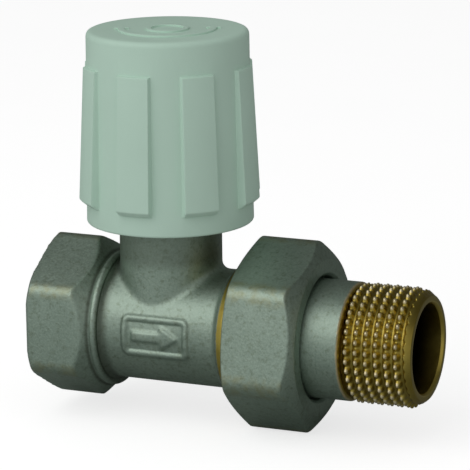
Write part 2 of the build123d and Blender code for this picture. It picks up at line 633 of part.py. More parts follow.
with BuildPart() as cap_shell:
    # Eight tapered ribs: rings cut down to spokes, then the turned shell
    with BuildSketch(NECK_BASE.offset(CAP_RIM_TOP)) as spokes:
        half = math.radians(RIB_WIDTH_DEG / 2)
        reach = 2 * RIB_FOOT_R
        with PolarLocations(0, RIB_COUNT):
            Polygon(
                (0, 0),
                (reach, reach * math.tan(half)),
                (reach, -reach * math.tan(half)),
                align=None,
            )
    extrude(amount=CAP_RIB_TOP - CAP_RIM_TOP)
    turn_neck(
        (CAP_BORE_R, CAP_RIM_TOP),
        (RIB_FOOT_R - RIB_CHAMFER, CAP_RIM_TOP),
        (RIB_FOOT_R, CAP_RIM_TOP + RIB_CHAMFER),
        (RIB_TOP_R, CAP_RIB_TOP),
        (CAP_BORE_R, CAP_RIB_TOP),
        mode=Mode.INTERSECT,
    )
    # Turned shell with a rounded top edge
    with BuildSketch(NECK_PROFILE) as shell_section:
        with BuildLine():
            Polyline(
                (0, CAP_CEILING_Z),
                (CAP_HOLLOW_R, CAP_CEILING_Z),
                (CAP_HOLLOW_R, SLEEVE_TOP + 0.1),
                (CAP_BORE_R, SLEEVE_TOP + 0.1),
                (CAP_BORE_R, CAP_FOOT_Z),
                (CAP_RIM_R - 0.3, CAP_FOOT_Z),
                (CAP_RIM_R, CAP_FOOT_Z + 0.3),
                (CAP_BAND_R, CAP_RIB_TOP),
                (CAP_BAND_R - 0.05, CAP_TOP),
                (0, CAP_TOP),
                close=True,
            )
        make_face()
        top_corner = shell_section.vertices().group_by(Axis.Y)[-1].sort_by(Axis.X)[-1]
        fillet(top_corner, CAP_EDGE_R)
    revolve(axis=NECK_AXIS)
    snap_groove = ring_outline(0, SNAP_OUTER_R, SNAP_Z, SNAP_Z + SNAP_HEIGHT)
    turn_neck(*snap_groove, mode=Mode.SUBTRACT)
    # Raised centre ring and double-ended turning arrow on the top
    with BuildSketch(NECK_BASE.offset(CAP_TOP - DIAL_RISE)):
        Circle(DIAL_DISC_R)
        Circle(DIAL_DISC_R - DIAL_DISC_LINE, mode=Mode.SUBTRACT)
        add(dial_arrow.sketch)
    extrude(amount=2 * DIAL_RISE)
finish(cap_shell, "cap_shell")

with BuildPart() as cap_sleeve:
    # Inner sleeve: skirt over the headwork hexagon, grip bore above, grooves for both rings
    ring_half = GRIP_RING_SECTION + SEATED
    ring_seat_r = HEADWORK_BARREL_R + RUNNING + 2 * GRIP_RING_SECTION + SEATED
    turn_neck(
        (SLEEVE_SKIRT_R, SLEEVE_FOOT_Z),
        (SLEEVE_R, SLEEVE_FOOT_Z),
        (SLEEVE_R, SNAP_Z),
        (SNAP_INNER_R, SNAP_Z),
        (SNAP_INNER_R, SNAP_Z + SNAP_HEIGHT),
        (SLEEVE_R, SNAP_Z + SNAP_HEIGHT),
        (SLEEVE_R, SLEEVE_TOP),
        (SLEEVE_GRIP_R + 0.5, SLEEVE_TOP),
        (SLEEVE_GRIP_R, SLEEVE_TOP - 0.5),
        (SLEEVE_GRIP_R, GRIP_RING_Z + ring_half),
        (ring_seat_r, GRIP_RING_Z + ring_half),
        (ring_seat_r, GRIP_RING_Z - ring_half),
        (SLEEVE_GRIP_R, GRIP_RING_Z - ring_half),
        (SLEEVE_GRIP_R, SLEEVE_SKIRT_TOP),
        (SLEEVE_SKIRT_R, SLEEVE_SKIRT_TOP),
    )
finish(cap_sleeve, "cap_sleeve")

with BuildPart() as cap_grip_ring:
    mean_r = HEADWORK_BARREL_R + RUNNING + GRIP_RING_SECTION
    torus_about_neck(mean_r, GRIP_RING_SECTION, GRIP_RING_Z)
finish(cap_grip_ring, "cap_grip_ring")

with BuildPart() as cap_snap_ring:
    snap_height = SNAP_HEIGHT - 2 * SEATED
    open_ring(
        SNAP_INNER_R + RUNNING, SNAP_OUTER_R - RUNNING, SNAP_Z + SEATED, snap_height, SNAP_GAP_DEG
    )
finish(cap_snap_ring, "cap_snap_ring")

# ================================================================ union nut and tail
with BuildPart() as union_nut:
    with BuildSketch(Plane.YZ.offset(NUT_START_X)):
        RegularPolygon(NUT_AF / 2, 6, major_radius=False, rotation=30 + NUT_TURN_DEG)
        fillet(vertices(), NUT_CORNER_R)
    extrude(amount=NUT_END_X - NUT_START_X)
    corner_r = NUT_AF / 2 * HEX_TO_CORNER
    turn_pipe(
        (NUT_START_X, 0),
        (NUT_START_X, NUT_INNER_FACE_R),
        (NUT_START_X + NUT_INNER_BEVEL, corner_r),
        (NUT_END_X - NUT_OUTER_BEVEL, corner_r),
        (NUT_END_X, NUT_OUTER_FACE_R),
        (NUT_END_X, 0),
        mode=Mode.INTERSECT,
    )
    turn_pipe(
        (NUT_START_X, 0),
        (NUT_START_X, NUT_BORE_R + NUT_MOUTH_CHAMFER),
        (NUT_START_X + NUT_MOUTH_CHAMFER, NUT_BORE_R),
        (NUT_LIP_X, NUT_BORE_R),
        (NUT_LIP_X, NUT_HOLE_R),
        (NUT_END_X - NUT_HOLE_CHAMFER, NUT_HOLE_R),
        (NUT_END_X, NUT_HOLE_R + NUT_HOLE_CHAMFER),
        (NUT_END_X, 0),
        mode=Mode.SUBTRACT,
    )
finish(union_nut, "union_nut")

with BuildPart() as tailpiece:
    turn_pipe(
        (TAIL_START_X, 0),
        (TAIL_START_X, TAIL_COLLAR_R - 0.3),
        (TAIL_START_X + 0.3, TAIL_COLLAR_R),
        (TAIL_SHANK_X, TAIL_COLLAR_R),
        (TAIL_SHANK_X, TAIL_SHANK_R),
        (TAIL_THREAD_X, TAIL_SHANK_R),
        (TAIL_THREAD_X, PIPE_MAJOR_R - TAIL_RELIEF_DEPTH),
        (TAIL_THREAD_X + TAIL_RELIEF, PIPE_MAJOR_R - TAIL_RELIEF_DEPTH),
        (TAIL_THREAD_X + TAIL_RELIEF, PIPE_MAJOR_R),
        (TAIL_END_X - TAIL_END_BEVEL, PIPE_MAJOR_R),
        (TAIL_END_X, PIPE_MAJOR_R - TAIL_END_BEVEL),
        (TAIL_END_X, 0),
    )
    # Waterway, and the hexagon for the key that turns the tail into its thread
    bore_x = TAIL_START_X + TAIL_KEY_DEPTH
    turn_pipe(
        (bore_x, 0),
        (bore_x, TAIL_BORE_R),
        (TAIL_END_X - TAIL_BORE_CHAMFER, TAIL_BORE_R),
        (TAIL_END_X, TAIL_BORE_R + TAIL_BORE_CHAMFER),
        (TAIL_END_X, 0),
        mode=Mode.SUBTRACT,
    )
    with BuildSketch(Plane.YZ.offset(TAIL_START_X)):
        RegularPolygon(TAIL_KEY_AF / 2, 6, major_radius=False)
    extrude(amount=TAIL_KEY_DEPTH, mode=Mode.SUBTRACT)
    ring_depth = 2 * TAIL_RING_SECTION
    ring_width = TAIL_RING_SECTION + SEATED
    turn_pipe(
        (TAIL_START_X, TAIL_RING_R - ring_width),
        (TAIL_START_X, TAIL_RING_R + ring_width),
        (TAIL_START_X + ring_depth, TAIL_RING_R + ring_width),
        (TAIL_START_X + ring_depth, TAIL_RING_R - ring_width),
        mode=Mode.SUBTRACT,
    )
finish(tailpiece, "tailpiece")

with BuildPart() as tail_o_ring:
    with BuildSketch(PIPE_PROFILE):
        with Locations((TAIL_START_X + TAIL_RING_SECTION, TAIL_RING_R)):
            Circle(TAIL_RING_SECTION)
    revolve(axis=Axis.X)
finish(tail_o_ring, "tail_o_ring")
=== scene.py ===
"""Looks for a straight lockshield valve: plated casting, union nut, serrated tail and ribbed shield cap.

Everything is in metres in the valve's own frame: the origin is the inlet mouth, +X runs along the pipe
axis to the tail and +Z up the neck. Lengths in the working code are millimetres and are scaled once,
where a mesh is made.
"""
import json
import math

import bmesh
import bpy
from mathutils import Matrix, Vector


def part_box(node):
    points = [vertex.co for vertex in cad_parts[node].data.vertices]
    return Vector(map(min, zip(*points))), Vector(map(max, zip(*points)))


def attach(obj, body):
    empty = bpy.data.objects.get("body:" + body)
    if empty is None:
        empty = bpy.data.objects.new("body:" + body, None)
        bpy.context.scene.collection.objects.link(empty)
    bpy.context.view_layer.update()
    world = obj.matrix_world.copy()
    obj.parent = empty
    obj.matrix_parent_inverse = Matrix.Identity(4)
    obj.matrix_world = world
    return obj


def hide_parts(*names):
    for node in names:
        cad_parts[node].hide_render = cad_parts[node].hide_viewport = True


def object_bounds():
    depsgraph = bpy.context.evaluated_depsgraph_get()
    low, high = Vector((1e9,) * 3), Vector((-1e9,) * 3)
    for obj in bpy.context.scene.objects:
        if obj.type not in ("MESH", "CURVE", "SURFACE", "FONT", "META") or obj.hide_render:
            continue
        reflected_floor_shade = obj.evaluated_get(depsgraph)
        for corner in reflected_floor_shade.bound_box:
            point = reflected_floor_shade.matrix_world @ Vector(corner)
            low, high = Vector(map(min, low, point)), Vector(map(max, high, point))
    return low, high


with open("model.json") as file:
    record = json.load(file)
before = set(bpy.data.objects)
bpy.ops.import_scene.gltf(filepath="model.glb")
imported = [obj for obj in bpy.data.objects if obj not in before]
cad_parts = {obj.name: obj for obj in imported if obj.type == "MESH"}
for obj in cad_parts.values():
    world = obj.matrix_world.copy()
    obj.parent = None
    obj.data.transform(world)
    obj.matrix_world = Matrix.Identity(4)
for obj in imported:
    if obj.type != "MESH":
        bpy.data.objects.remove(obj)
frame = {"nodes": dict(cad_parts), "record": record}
CAD_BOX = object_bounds()
MM = 0.001
TURN = 2 * math.pi


# ---------------------------------------------------------------- sizes read from the frame
def span(node, axis):
    """Lowest and highest value of a node along one axis (0 x, 1 y, 2 z), in millimetres."""
    low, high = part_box(node)
    return low[axis] / MM, high[axis] / MM


UNION_END_X = span("valve_body", 0)[1]
NUT_START_X, NUT_END_X = span("union_nut", 0)
TAIL_START_X, TAIL_END_X = span("tailpiece", 0)
CAP_FOOT_Z, DIAL_TOP_Z = span("cap_shell", 2)
SLEEVE_TOP_Z = span("cap_sleeve", 2)[1]
SNAP_LOW_Z, SNAP_HIGH_Z = span("cap_snap_ring", 2)
NECK_X = sum(span("cap_shell", 0)) / 2
RIB_FOOT_R = (span("cap_shell", 0)[1] - span("cap_shell", 0)[0]) / 2
SLEEVE_R = (span("cap_sleeve", 0)[1] - span("cap_sleeve", 0)[0]) / 2
TAIL_COLLAR_R = span("tailpiece", 1)[1]
MOUNTS = {m["name"]: m for m in frame["record"]["mounts"]}
PIPE_MAJOR_R = MOUNTS["tail_thread"]["dims"]["r_mm"]
PIPE_BORE_R = MOUNTS["inlet_thread"]["dims"]["r_mm"]
TAIL_BORE_R = MOUNTS["tail_bore"]["dims"]["r_mm"]

# ---------------------------------------------------------------- standard thread sizes
PIPE_PITCH = 1.814
THREAD_HEIGHT = 1.162
PIPE_MINOR_R = PIPE_MAJOR_R - THREAD_HEIGHT
UNION_PITCH = 1.814
UNION_MAJOR_R = 26.441 / 2
UNION_MINOR_R = UNION_MAJOR_R - THREAD_HEIGHT
CREST_GAP = 0.05  # radial gap kept between the two union threads
UNION_THREAD_X = UNION_END_X - 8.8
UNION_THREAD_END_X = UNION_END_X - 0.9
INLET_THREAD_X = 0.6
INLET_THREAD_END_X = 9.9
BARE_RING_X = UNION_END_X - 9.9  # where the nickel stops on the shoulder before the nut
HEX_BACK_X = 11.6  # back of the inlet hexagon
THREAD_STEPS = 16  # points along one pitch


# ================================================================ mesh tools
def rounded(corners, closed=False, steps=3):
    """Turn (u, v, radius) corners into (u, v) points, each corner with a radius bent into an arc.

    Every outline with the same corners gets the same number of points, so that outlines which differ
    only in their sizes can be joined column by column.
    """
    points = []
    last = len(corners) - 1
    for index, (u, v, radius) in enumerate(corners):
        here = Vector((u, v))
        at_end = index in (0, last) and not closed
        if radius == 0 or at_end:
            points.append(here)
            continue
        before = Vector(corners[index - 1][:2]) - here
        after = Vector(corners[(index + 1) % (last + 1)][:2]) - here
        reach = radius
        if before.length > 1e-6 and after.length > 1e-6:
            half = before.angle(after, math.pi) / 2
            reach = radius / max(math.tan(half), 0.2)
        start = here + before.normalized() * min(reach, 0.45 * before.length)
        end = here + after.normalized() * min(reach, 0.45 * after.length)
        for step in range(steps + 1):
            t = step / steps
            points.append(start.lerp(here, t).lerp(here.lerp(end, t), t))
    return [(p.x, p.y) for p in points]


def about_pipe(along, radius, angle):
    """Point at a distance along the pipe axis, a radius from it and an angle round it."""
    return Vector((along, radius * math.cos(angle), radius * math.sin(angle))) * MM


def about_neck(radius, height, angle):
    """Point at a radius from the neck axis, a height and an angle round it."""
    return Vector((NECK_X + radius * math.cos(angle), radius * math.sin(angle), height)) * MM


def swept_mesh(name, outline, angles, place, closed=True):
    """Join outlines that stand at successive angles round an axis into one watertight mesh.

    outline(angle) gives the (u, v) points and place(u, v, angle) puts them in space. The last angle is
    the first one plus a full turn, and its points weld onto the first column's.
    """
    mesh = bmesh.new()
    columns = [[mesh.verts.new(place(u, v, a)) for u, v in outline(a)] for a in angles]
    for left, right in zip(columns, columns[1:]):
        count = len(left)
        for k in range(count if closed else count - 1):
            mesh.faces.new((left[k], right[k], right[(k + 1) % count], left[(k + 1) % count]))
    bmesh.ops.remove_doubles(mesh, verts=mesh.verts, dist=0.0008 * MM)
    bmesh.ops.dissolve_degenerate(mesh, edges=mesh.edges, dist=0.0002 * MM)
    bmesh.ops.recalc_face_normals(mesh, faces=mesh.faces)
    return new_object(name, mesh)


def new_object(name, mesh, smooth_deg=32):
    """Make an object of a bmesh, smooth-shaded up to an angle between faces."""
    data = bpy.data.meshes.new(name)
    mesh.to_mesh(data)
    mesh.free()
    made = bpy.data.objects.new(name, data)
    bpy.context.scene.collection.objects.link(made)
    data.polygons.foreach_set("use_smooth", [True] * len(data.polygons))
    data.set_sharp_from_angle(angle=math.radians(smooth_deg))
    return made


def even_angles(count):
    """A full turn in equal steps, both ends included."""
    return [TURN * k / count for k in range(count + 1)]


def hexagon_radius(angle, flat_r, corner_fillet, turned=0.0):
    """Polar radius of a hexagon with rounded corners. A corner points at the turned angle."""
    off_corner = (angle - turned + math.pi / 6) % (math.pi / 3) - math.pi / 6
    off_flat = math.pi / 6 - abs(off_corner)
    reach = flat_r - corner_fillet
    if off_flat <= math.atan(reach * math.tan(math.pi / 6) / flat_r):
        return flat_r / math.cos(off_flat)
    centre = reach / math.cos(math.pi / 6)
    rise = centre * math.sin(off_corner)
    return centre * math.cos(off_corner) + math.sqrt(corner_fillet ** 2 - rise ** 2)


def ease(value):
    """Smooth step of a value, held between 0 and 1."""
    value = min(max(value, 0.0), 1.0)
    return value * value * (3 - 2 * value)


def thread_points(angle, start, end, pitch, root_r, crest_r, trim=None, crest_share=0.12, shift=0.0):
    """Points (x, radius) down one side of a right-hand thread between two places along the pipe.

    The points follow the helix, so its crests stay crisp. trim(x, radius) can cut the thread back at
    its ends, and points past either end gather there and weld together.
    """
    points = []
    count = math.ceil((end - start) / pitch + 2) * THREAD_STEPS
    for k in range(count + 1):
        x = start + shift - 2 * pitch + k * pitch / THREAD_STEPS + pitch * angle / TURN
        off_root = 1 - abs(2 * ((k / THREAD_STEPS) % 1) - 1)
        radius = root_r + (crest_r - root_r) * ease((off_root - 0.12) / (0.88 - crest_share))
        x = min(max(x, start), end)
        points.append((x, trim(x, radius) if trim else radius))
    return points


# ================================================================ shader tools
class Value:
    """A socket inside an expression. Arithmetic on values adds Math nodes to their material."""

    def __init__(self, finish, socket):
        self.finish = finish
        self.socket = socket

    def math(self, operation, *operands):
        return self.finish.node("ShaderNodeMath", {"operation": operation}, operands)

    def __add__(self, other):
        return self.math("ADD", self, other)

    def __radd__(self, other):
        return self.math("ADD", other, self)

    def __sub__(self, other):
        return self.math("SUBTRACT", self, other)

    def __rsub__(self, other):
        return self.math("SUBTRACT", other, self)

    def __mul__(self, other):
        return self.math("MULTIPLY", self, other)

    def __rmul__(self, other):
        return self.math("MULTIPLY", other, self)

    def clamp(self):
        return self.finish.node("ShaderNodeClamp", {}, {"Value": self})

    def root(self):
        return self.math("SQRT", self)

    def between(self, low, high):
        """0 below low, 1 above high, and a smooth step from one to the other."""
        settings = {"interpolation_type": "SMOOTHSTEP"}
        limits = {"Value": self, "From Min": low, "From Max": high}
        return self.finish.node("ShaderNodeMapRange", settings, limits)


class Finish:
    """A material or a room under construction, as a node tree. Places are in millimetres."""

    def __init__(self, owner, coordinate="Object", scale=1 / MM):
        self.owner = owner
        owner.use_nodes = True
        self.tree = owner.node_tree
        self.tree.nodes.clear()
        place = self.node("ShaderNodeTexCoord", {}, {}, output=coordinate)
        self.place = self.node("ShaderNodeMapping", {}, {"Vector": place, "Scale": (scale,) * 3})

    def node(self, kind, settings, inputs, output=0):
        """Add one node: its type, its settings, then the values or links of its sockets."""
        made = self.tree.nodes.new(kind)
        for name, value in settings.items():
            setattr(made, name, value)
        pairs = inputs.items() if isinstance(inputs, dict) else enumerate(inputs)
        for name, value in pairs:
            if isinstance(value, Value):
                self.tree.links.new(value.socket, made.inputs[name])
            else:
                made.inputs[name].default_value = value
        return Value(self, made.outputs[output]) if made.outputs else None

    def axes(self):
        """The x, y and z of a surface point, in millimetres."""
        split = self.tree.nodes.new("ShaderNodeSeparateXYZ")
        self.tree.links.new(self.place.socket, split.inputs[0])
        return [Value(self, split.outputs[k]) for k in range(3)]

    def noise(self, size_mm, detail=2.0, roughness=0.5, stretch=(1, 1, 1)):
        """Noise from 0 to 1 whose blotches are about size_mm across."""
        place = self.place
        if stretch != (1, 1, 1):
            place = self.node("ShaderNodeMapping", {}, {"Vector": place, "Scale": stretch})
        inputs = {"Vector": place, "Scale": 1 / size_mm, "Detail": detail, "Roughness": roughness}
        return self.node("ShaderNodeTexNoise", {}, inputs)

    def cells(self, size_mm):
        """Distance to the nearest of many scattered points, in units of their spacing."""
        inputs = {"Vector": self.place, "Scale": 1 / size_mm}
        return self.node("ShaderNodeTexVoronoi", {}, inputs)

    def blend(self, mask, low, high):
        """Colour that runs from low to high as the mask goes from 0 to 1."""
        inputs = {0: mask, 6: low, 7: high}
        return self.node("ShaderNodeMix", {"data_type": "RGBA"}, inputs, output=2)

    def surface(self, **sockets):
        """The finished material: a Principled shader with these sockets, and a bump for its height."""
        height = sockets.pop("height", None)
        bump_mm = sockets.pop("bump_mm", 0.01)
        values = {name.replace("_", " "): value for name, value in sockets.items()}
        if height is not None:
            bump = {"Strength": 1.0, "Distance": bump_mm * MM, "Height": height}
            values["Normal"] = self.node("ShaderNodeBump", {}, bump)
        shader = self.node("ShaderNodeBsdfPrincipled", {}, values)
        self.node("ShaderNodeOutputMaterial", {}, {"Surface": shader})
        return self.owner


def rgb(red, green, blue):
    """Colour as a shader wants it, from display values of 0 to 255."""
    def linear(value):
        value = value / 255
        return value / 12.92 if value <= 0.04045 else ((value + 0.055) / 1.055) ** 2.4
    return (linear(red), linear(green), linear(blue), 1.0)


# ================================================================ finishes
NICKEL_DARK = rgb(136, 153, 140)
NICKEL_LIGHT = rgb(186, 202, 188)
NICKEL_STAIN = rgb(104, 112, 84)
# painted shade colour for the nickel in hollows and under the cap
NICKEL_SHADE = rgb(62, 64, 48)
NICKEL_WORN = rgb(158, 154, 112)
PEARL = rgb(226, 212, 176)
BRASS_DEEP = rgb(146, 124, 44)
BRASS_LIGHT = rgb(222, 200, 108)


def nickel_layers(finish):
    """Colour, roughness and height of satin nickel on a tumbled casting."""
    cloud = finish.noise(9.0, detail=3.0)
    grain = finish.noise(0.36, detail=2.0, roughness=0.6)
    peen = finish.cells(0.6)
    stain = finish.noise(0.9, detail=3.0, roughness=0.65).between(0.48, 0.74)
    clean = finish.blend((cloud * 0.55 + grain * 0.9 - 0.25).clamp(), NICKEL_DARK, NICKEL_LIGHT)
    colour = finish.blend(stain * 0.38, clean, NICKEL_STAIN)
    rough = 0.38 + grain * 0.18 + cloud * 0.08
    height = grain * 0.8 + peen * 0.6
    return colour, rough, height


def brass_layers(finish):
    """Colour, roughness and height of bare machined brass."""
    cloud = finish.noise(4.0, detail=3.0)
    rings = finish.noise(0.5, detail=2.0, stretch=(9, 0.6, 0.6))
    colour = finish.blend((cloud * 0.7 + rings * 0.4 - 0.05).clamp(), BRASS_DEEP, BRASS_LIGHT)
    rough = 0.24 + cloud * 0.14 + rings * 0.06
    return colour, rough, rings


def plated_body():
    """Nickel casting whose machined ends were cut back to brass after plating, with painted shade in its
    hollows, beside the bare ring and on the neck under the cap.
    """
    finish = Finish(bpy.data.materials.new("satin_nickel_casting"))
    x, y, z = finish.axes()
    radius = (y * y + z * z).root()
    ragged = finish.noise(0.8, detail=2.0) * 0.3 - 0.15
    at_ring = (x + ragged).between(BARE_RING_X - 0.15, BARE_RING_X + 0.1)
    in_mouth = (1 - radius.between(PIPE_BORE_R + 0.1, PIPE_BORE_R + 0.35)) * (1 - x.between(11.5, 12.5))
    bare = (at_ring + in_mouth).clamp()
    colour, rough, height = nickel_layers(finish)
    # painted shade: darker nickel in the groove behind the collar, the crevice at the hexagon's back,
    # before the bare ring and at the neck's foot under the cap
    past_hex = x.between(HEX_BACK_X + 0.1, HEX_BACK_X + 1.3)
    past_groove = x.between(HEX_BACK_X + 1.8, HEX_BACK_X + 3.6)
    hollow = past_hex * (1 - past_groove) * (1 - radius.between(11.2, 12.2))
    ring_edge = (x + ragged).between(BARE_RING_X - 0.9, BARE_RING_X) * (1 - at_ring)
    into_back = x.between(HEX_BACK_X - 0.6, HEX_BACK_X - 0.1)
    out_of_back = x.between(HEX_BACK_X - 0.1, HEX_BACK_X + 0.3)
    crevice = into_back * (1 - out_of_back) * (1 - radius.between(12.3, 12.9))
    neck = z.between(10.9, 13.5) * x.between(12.2, 13.4) * (1 - x.between(32, 33))
    # painted shade mask, mixed towards the dark nickel shade colour
    painted_shade = (hollow * 0.6 + crevice * 0.6 + ring_edge * 0.4 + neck * 0.34).clamp()
    corner = radius.between(14.05, 14.55) * (1 - x.between(11.8, 12.2))
    worn = corner * finish.noise(1.6, detail=3.0).between(0.3, 0.7)
    plated = finish.blend(painted_shade, finish.blend(worn * 0.45, colour, NICKEL_WORN), NICKEL_SHADE)
    brass, brass_rough, brass_height = brass_layers(finish)
    return finish.surface(
        Base_Color=finish.blend(bare, plated, brass),
        Roughness=rough * (1 - bare) + brass_rough * bare,
        Metallic=1.0,
        height=height * (1 - bare) + brass_height * bare * 0.5,
        bump_mm=0.035,
    )


def plated_nut():
    """Nickel on a forged nut, bare brass in its bore."""
    finish = Finish(bpy.data.materials.new("satin_nickel_nut"))
    x, y, z = finish.axes()
    radius = (y * y + z * z).root()
    bore = 1 - radius.between(UNION_MAJOR_R + 0.1, UNION_MAJOR_R + 0.5)
    at_mouth = (1 - x.between(NUT_START_X + 0.05, NUT_START_X + 0.5)) * 0.75
    bare = (bore * (1 - x.between(NUT_END_X - 3.2, NUT_END_X - 2.6)) + at_mouth).clamp()
    colour, rough, height = nickel_layers(finish)
    worn = radius.between(16.0, 16.5) * finish.noise(1.6, detail=3.0).between(0.3, 0.7)
    plated = finish.blend(worn * 0.45, colour, NICKEL_WORN)
    brass, brass_rough, brass_height = brass_layers(finish)
    return finish.surface(
        Base_Color=finish.blend(bare, plated, brass),
        Roughness=rough * (1 - bare) + brass_rough * bare,
        Metallic=1.0,
        height=height * (1 - bare),
        bump_mm=0.03,
    )


def plated_tail(thread_x):
    """Nickel shank, and a thread cut through the plating: bright crests over brass grooves, with painted
    shade in the grooves and deep in the bore.
    """
    finish = Finish(bpy.data.materials.new("tail_nickel_and_brass"))
    x, y, z = finish.axes()
    radius = (y * y + z * z).root()
    ragged = finish.noise(0.7, detail=2.0) * 0.4 - 0.2
    threaded = (x + ragged).between(thread_x - 0.2, thread_x + 0.1)
    crest = radius.between(PIPE_MAJOR_R - 0.5, PIPE_MAJOR_R - 0.2)
    plain_end = x.between(TAIL_END_X - 2.3, TAIL_END_X - 1.9)
    bore = 1 - radius.between(TAIL_BORE_R + 0.3, TAIL_BORE_R + 0.6)
    bare = (threaded * (1 - crest * (1 - plain_end)) + bore).clamp()
    groove = 1 - radius.between(PIPE_MINOR_R + 0.1, PIPE_MAJOR_R - 0.3)
    colour, rough, height = nickel_layers(finish)
    brass, brass_rough, brass_height = brass_layers(finish)
    # painted shade: the brass darkened in the thread's grooves
    groove_shade = finish.blend(groove * threaded * (1 - bore) * 0.45, brass, rgb(112, 94, 36))
    # painted shade: deep inside the bore the brass is mixed to near black
    deep = bore * (1 - x.between(TAIL_END_X - 5.0, TAIL_END_X - 0.4))
    bore_shade = finish.blend(deep, groove_shade, rgb(34, 24, 14))
    plated = finish.blend(threaded, colour, PEARL)
    turned = finish.noise(0.35, detail=2.0, stretch=(1, 0.05, 0.05)) * (1 - threaded)
    return finish.surface(
        Base_Color=finish.blend(bare, plated, bore_shade),
        Roughness=rough * (1 - bare) + brass_rough * bare,
        Metallic=1.0,
        height=height * (1 - bare) * 0.6 + turned * 1.4 + brass_height * bare * 0.3,
        bump_mm=0.022,
    )


def turned_brass(name, tint=BRASS_LIGHT):
    """Machined brass of the hidden parts."""
    finish = Finish(bpy.data.materials.new(name))
    cloud = finish.noise(3.0, detail=3.0)
    tool = finish.noise(0.25, detail=1.0, stretch=(0.15, 0.15, 2.5))
    mask = (cloud * 0.7 + tool * 0.5 - 0.1).clamp()
    colour = finish.blend(mask, rgb(150, 118, 50), tint)
    return finish.surface(
        Base_Color=colour,
        Roughness=0.22 + tool * 0.16 + cloud * 0.08,
        Metallic=1.0,
        height=tool,
        bump_mm=0.008,
    )


def moulded(name, low, high, rough, bump_mm=0.012):
    """Moulded plastic: faint flow clouds in its colour, and a fine spark-eroded grain."""
    finish = Finish(bpy.data.materials.new(name))
    cloud = finish.noise(14.0, detail=3.0)
    grain = finish.noise(0.28, detail=2.0, roughness=0.55)
    mask = (cloud * 0.9 + grain * 0.25 - 0.05).clamp()
    return finish.surface(
        Base_Color=finish.blend(mask, low, high),
        Roughness=rough + grain * 0.1 + cloud * 0.06,
        Specular_IOR_Level=0.42,
        height=grain,
        bump_mm=bump_mm,
    )


def rubber():
    """Matt black rubber with a dusty bloom."""
    finish = Finish(bpy.data.materials.new("seal_rubber"))
    cloud = finish.noise(2.0, detail=3.0)
    grain = finish.noise(0.2, detail=2.0)
    return finish.surface(
        Base_Color=finish.blend(cloud, rgb(22, 22, 23), rgb(52, 52, 54)),
        Roughness=0.55 + grain * 0.25,
        height=grain,
        bump_mm=0.01,
    )


def packing_cord():
    """Graphited packing: dark, with the slanting strands of a plait."""
    finish = Finish(bpy.data.materials.new("graphited_packing"))
    strand = finish.noise(0.5, detail=2.0, stretch=(1, 1, 0.4))
    sheen = finish.noise(1.6, detail=2.0)
    return finish.surface(
        Base_Color=finish.blend(strand, rgb(30, 30, 32), rgb(88, 88, 92)),
        Roughness=0.38 + sheen * 0.25,
        Metallic=sheen * 0.4,
        height=strand,
        bump_mm=0.05,
    )


def bright_metal(name, low, high):
    """Drawn spring steel or soft copper, with fine draw lines."""
    finish = Finish(bpy.data.materials.new(name))
    lines = finish.noise(0.3, detail=2.0, stretch=(0.3, 0.3, 3))
    cloud = finish.noise(2.5, detail=2.0)
    return finish.surface(
        Base_Color=finish.blend((lines * 0.5 + cloud * 0.5).clamp(), low, high),
        Roughness=0.2 + lines * 0.15 + cloud * 0.1,
        Metallic=1.0,
        height=lines,
        bump_mm=0.006,
    )


# ================================================================ casting
CASTING_GRID = 0.31  # spacing of the casting's mesh
CASTING_SMOOTHING = 3  # rounds of smoothing that soften its edges


def casting(material):
    """Valve body with the soft edges and blended hollows of a tumbled casting."""
    made = bpy.data.objects.new("valve_body_casting", frame["nodes"]["valve_body"].data.copy())
    bpy.context.scene.collection.objects.link(made)
    made.modifiers.new("join", "WELD").merge_threshold = 0.001 * MM
    grid = made.modifiers.new("grid", "REMESH")
    grid.mode = "VOXEL"
    grid.voxel_size = CASTING_GRID * MM
    soften = made.modifiers.new("soften", "SMOOTH")
    soften.factor = 0.5
    soften.iterations = CASTING_SMOOTHING
    graph = bpy.context.evaluated_depsgraph_get()
    data = bpy.data.meshes.new_from_object(made.evaluated_get(graph))
    made.modifiers.clear()
    made.data = data
    data.polygons.foreach_set("use_smooth", [True] * len(data.polygons))
    data.materials.clear()
    data.materials.append(material)
    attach(made, "valve")
    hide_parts("valve_body")


BEAD_X = 12.35  # middle of the collar's bead
BEAD_R = 11.35
BEAD_SECTION = 0.74


def collar_bead(material):
    """Rounded bead round the collar behind the inlet hexagon."""
    def outline(angle):
        turns = [TURN * k / 20 for k in range(20)]
        return [(BEAD_X + BEAD_SECTION * math.cos(t), BEAD_R + BEAD_SECTION * math.sin(t)) for t in turns]

    made = swept_mesh("collar_bead", outline, even_angles(160), about_pipe)
    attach(made, "valve")
    made.data.materials.append(material)


# ================================================================ union nut
NUT_AF = 30.0
NUT_FLAT_R = NUT_AF / 2
NUT_CORNER_FILLET = 3.0
NUT_TURNED = math.radians(90 - 9.5)
NUT_INNER_FACE_R = NUT_FLAT_R - 0.9
NUT_INNER_BEVEL = 1.0
NUT_OUTER_FACE_R = NUT_FLAT_R - 1.2
NUT_OUTER_BEVEL = 2.2
NUT_LIP = 2.6
NUT_HOLE_R = PIPE_MAJOR_R - 0.08 + 0.55


